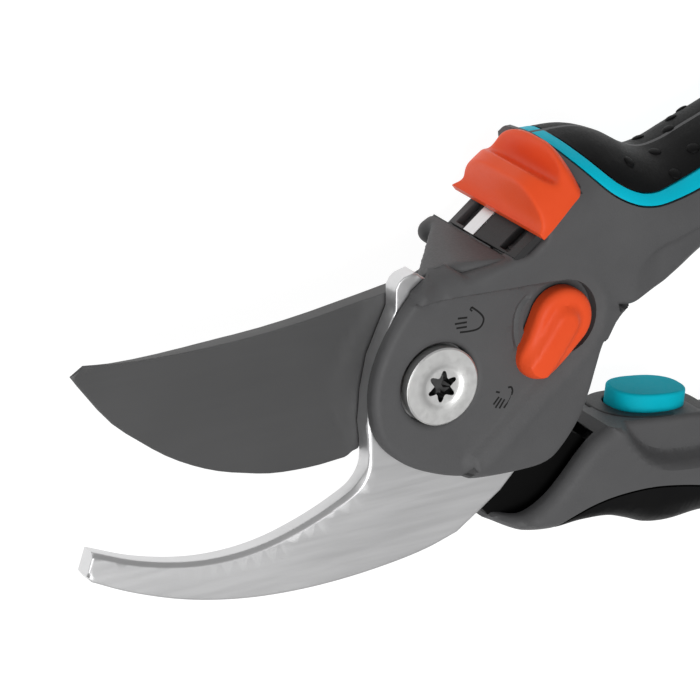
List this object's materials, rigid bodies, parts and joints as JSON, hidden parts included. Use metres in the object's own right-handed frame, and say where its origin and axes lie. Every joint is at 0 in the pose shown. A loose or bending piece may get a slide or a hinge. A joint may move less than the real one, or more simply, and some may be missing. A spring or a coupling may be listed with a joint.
{
  "type": "power assisted bypass pruner",
  "caption": "Bypass pruner with a hooked counter blade, sliding lock, grip-width lever, soft stop and a power assist drive in the upper handle.",
  "frame": {"origin": "pivot axis, at the flat face of the pivot nut, which is also the plane the tool lies on", "axes": "+X from the jaws along the tool to the handle ends, +Y towards the upper handle, +Z out of the near side, along the pivot axis"},
  "size_m": [0.2417, 0.1268, 0.0308],
  "materials": {
    "grey_shell": "fine matte grain",
    "soft_grip": "matte soft-touch",
    "accent": "satin",
    "soft_stop": "matte elastomer",
    "dark_plastic": "matte",
    "orange_plastic": "satin",
    "stainless": "brushed",
    "coated_steel": "satin non-stick coating",
    "hidden_steel": "turned",
    "brass": "machined",
    "board": "solder mask",
    "cell": "shrink sleeve",
    "lens": "clear"
  },
  "bodies": {
    "upper_frame": {"upper_shell_near": "grey_shell", "upper_shell_far": "grey_shell", "upper_soft_grip": "soft_grip", "accent_strip": "accent", "end_cap": "dark_plastic", "charge_port": "hidden_steel", "counter_blade": "stainless", "drive_gear_pin": "hidden_steel", "worm_bearing": "hidden_steel", "gearbox": "dark_plastic", "motor": "hidden_steel", "battery_cell": "cell", "circuit_board": "board", "pivot_bolt": "stainless", "pivot_nut": "hidden_steel", "pivot_bush": "brass", "return_spring": "hidden_steel", "seat_plate": "dark_plastic", "seat_rim": "grey_shell", "lock_rail": "stainless", "lever_pin": "hidden_steel", "status_light": "lens", "button_switch": "dark_plastic", "upper_screw_1": "hidden_steel", "upper_screw_2": "hidden_steel", "upper_screw_3": "hidden_steel"},
    "lower_lever": {"cutting_blade": "coated_steel", "lower_shell_near": "grey_shell", "lower_shell_far": "grey_shell", "lower_soft_grip": "soft_grip", "buffer_collar": "dark_plastic", "tang_pin_1": "hidden_steel", "tang_pin_2": "hidden_steel", "lower_screw_1": "hidden_steel", "lower_screw_2": "hidden_steel"},
    "stop_pad": {"soft_stop": "soft_stop"},
    "lock": {"lock_slider": "orange_plastic"},
    "width_lever": {"grip_width_lever": "orange_plastic"},
    "gear": {"drive_gear": "brass"},
    "worm": {"worm_shaft": "hidden_steel"},
    "button": {"power_button": "orange_plastic"},
    "cover": {"port_cover": "dark_plastic"}
  },
  "joints": [
    {"name": "handle_pivot", "type": "hinge", "parent": "upper_frame", "child": "lower_lever", "pos_m": [0, 0, 0.0185], "axis": [0, 0, 1], "range_deg": [-8.5, 26]},
    {"name": "drive_gear_spin", "type": "hinge", "parent": "upper_frame", "child": "gear", "pos_m": [0.02, 0.0065, 0.0163], "axis": [0, 0, 1], "range_deg": [-112, 40]},
    {"name": "worm_spin", "type": "hinge", "parent": "upper_frame", "child": "worm", "pos_m": [0.03, 0.01922, 0.01], "axis": [0.9877, 0.1564, 0], "range_deg": [-640, 1790]},
    {"name": "soft_stop_press", "type": "slide", "parent": "lower_lever", "child": "stop_pad", "axis": [-0.1392, -0.9903, 0], "range_m": [0, 0.0012], "stiffness_N_per_m": 4000},
    {"name": "lock_slide", "type": "slide", "parent": "upper_frame", "child": "lock", "axis": [-0.8, -0.6, 0], "range_m": [0, 0.0048]},
    {"name": "grip_width_turn", "type": "hinge", "parent": "upper_frame", "child": "width_lever", "pos_m": [0.0242, 0.0077, 0.029], "axis": [0, 0, 1], "range_deg": [-55, 0]},
    {"name": "power_button_press", "type": "slide", "parent": "upper_frame", "child": "button", "axis": [0, 0, -1], "range_m": [0, 0.0012], "stiffness_N_per_m": 600},
    {"name": "port_cover_swing", "type": "hinge", "parent": "upper_frame", "child": "cover", "pos_m": [0.1666, 0.0439, 0.014], "axis": [0, 0, 1], "range_deg": [-95, 0]}
  ],
  "couplings": [
    {"joint": "drive_gear_spin", "follows": "handle_pivot", "ratio": -4.25},
    {"joint": "worm_spin", "follows": "handle_pivot", "ratio": 68}
  ]
}
